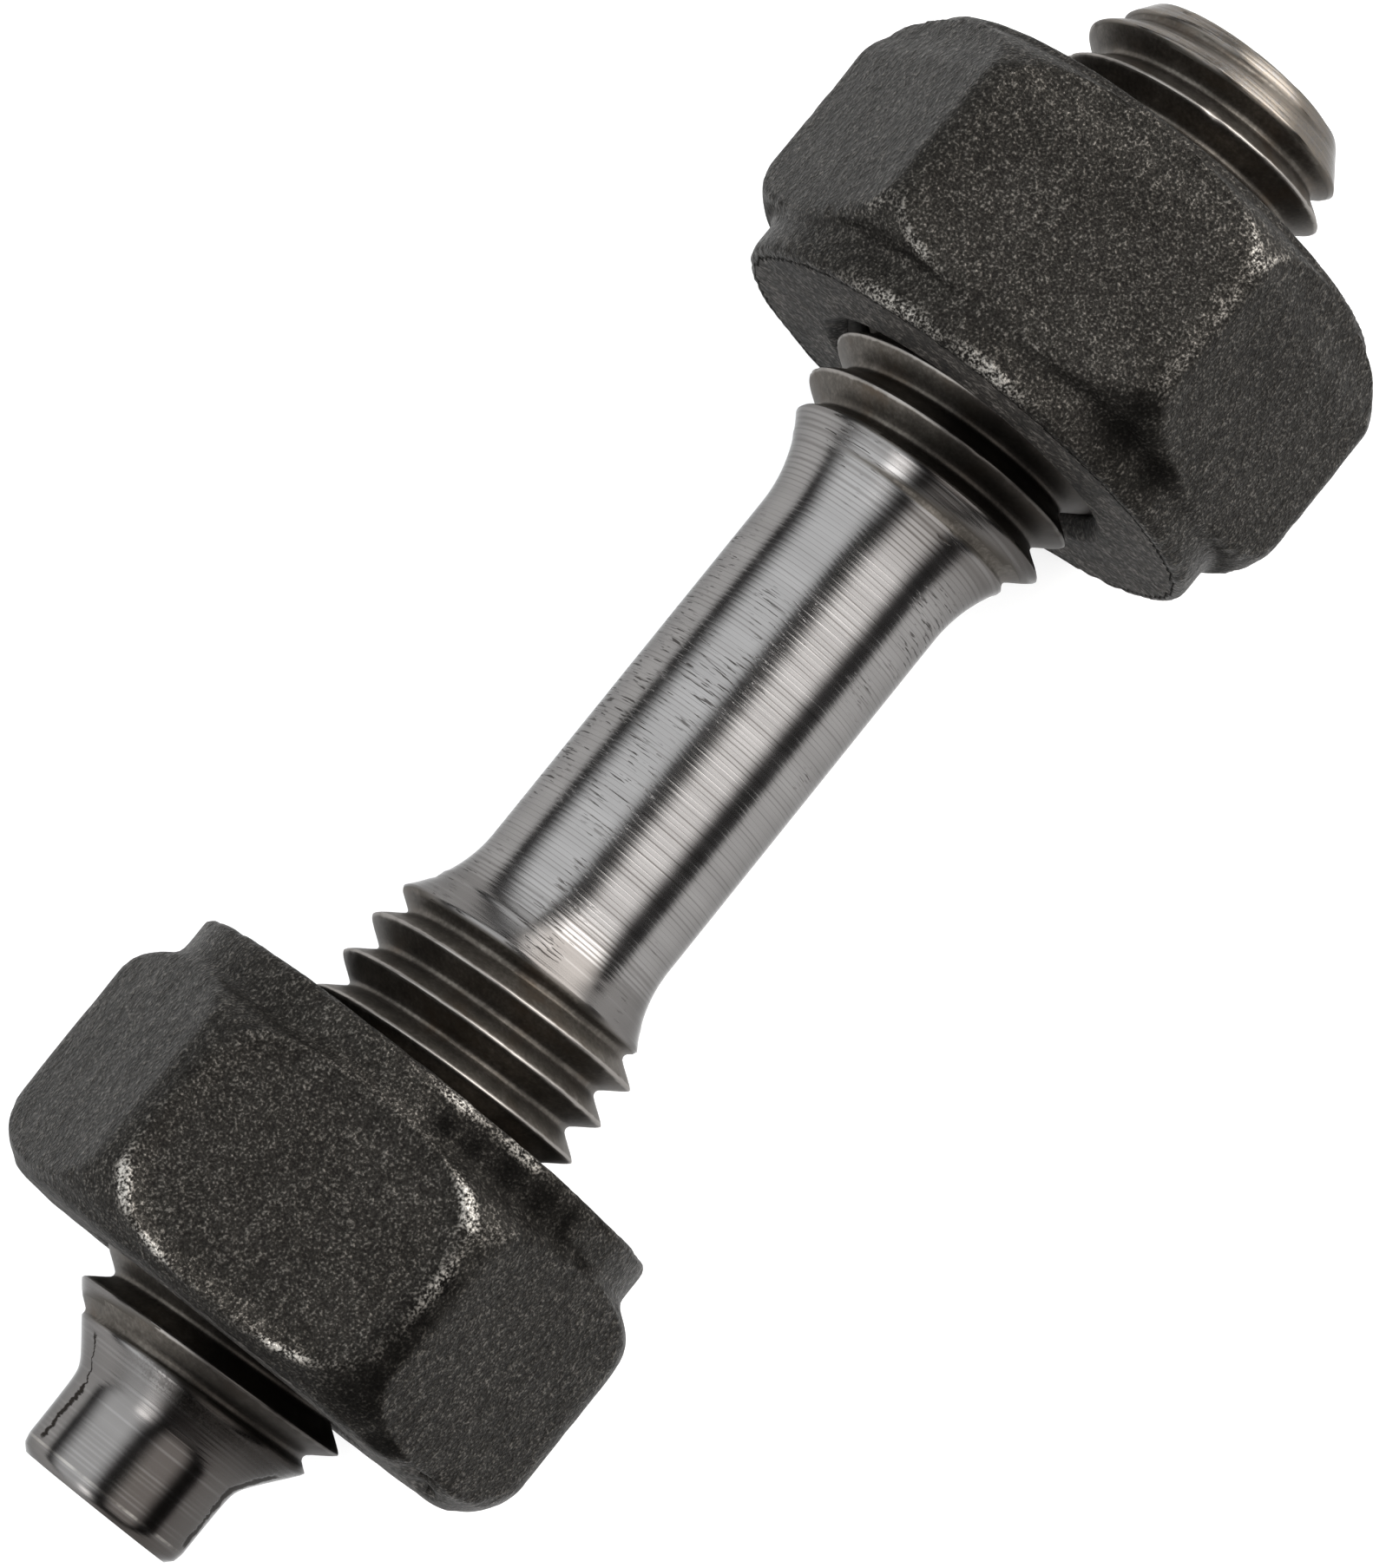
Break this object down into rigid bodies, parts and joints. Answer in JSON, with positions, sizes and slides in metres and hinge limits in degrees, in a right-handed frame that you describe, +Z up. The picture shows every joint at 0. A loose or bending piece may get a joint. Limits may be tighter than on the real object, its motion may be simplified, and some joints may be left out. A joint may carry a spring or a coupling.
{
  "type": "double ended stud",
  "caption": "Waisted double ended stud with right-hand coarse metric threads, a turned pilot on one end, and a forged hexagon collar nut on each thread, bearing collars facing inwards.",
  "frame": {"origin": "on the stud's axis, at half the stud's length", "axes": "+X along the stud towards its plain chamfered end, -X towards the pilot, +Z up and square to the nut flats that the part lies on"},
  "size_m": [0.07, 0.0246, 0.0216],
  "materials": {
    "bright_steel": "bright turned steel with fine turning rings, rolled threads",
    "black_steel": "black forged steel with a fine shot-blasted grain, paler on worn edges"
  },
  "bodies": {
    "stud": {"stud": "bright_steel"},
    "plain_end_nut": {"plain_end_nut": "black_steel"},
    "pilot_end_nut": {"pilot_end_nut": "black_steel"}
  },
  "joints": [
    {"name": "plain_end_nut_travel", "type": "slide", "parent": "stud", "child": "plain_end_nut", "axis": [1, 0, 0], "range_m": [-0.00175, 0.01925]},
    {"name": "pilot_end_nut_travel", "type": "slide", "parent": "stud", "child": "pilot_end_nut", "axis": [-1, 0, 0], "range_m": [-0.00525, 0.021]}
  ]
}
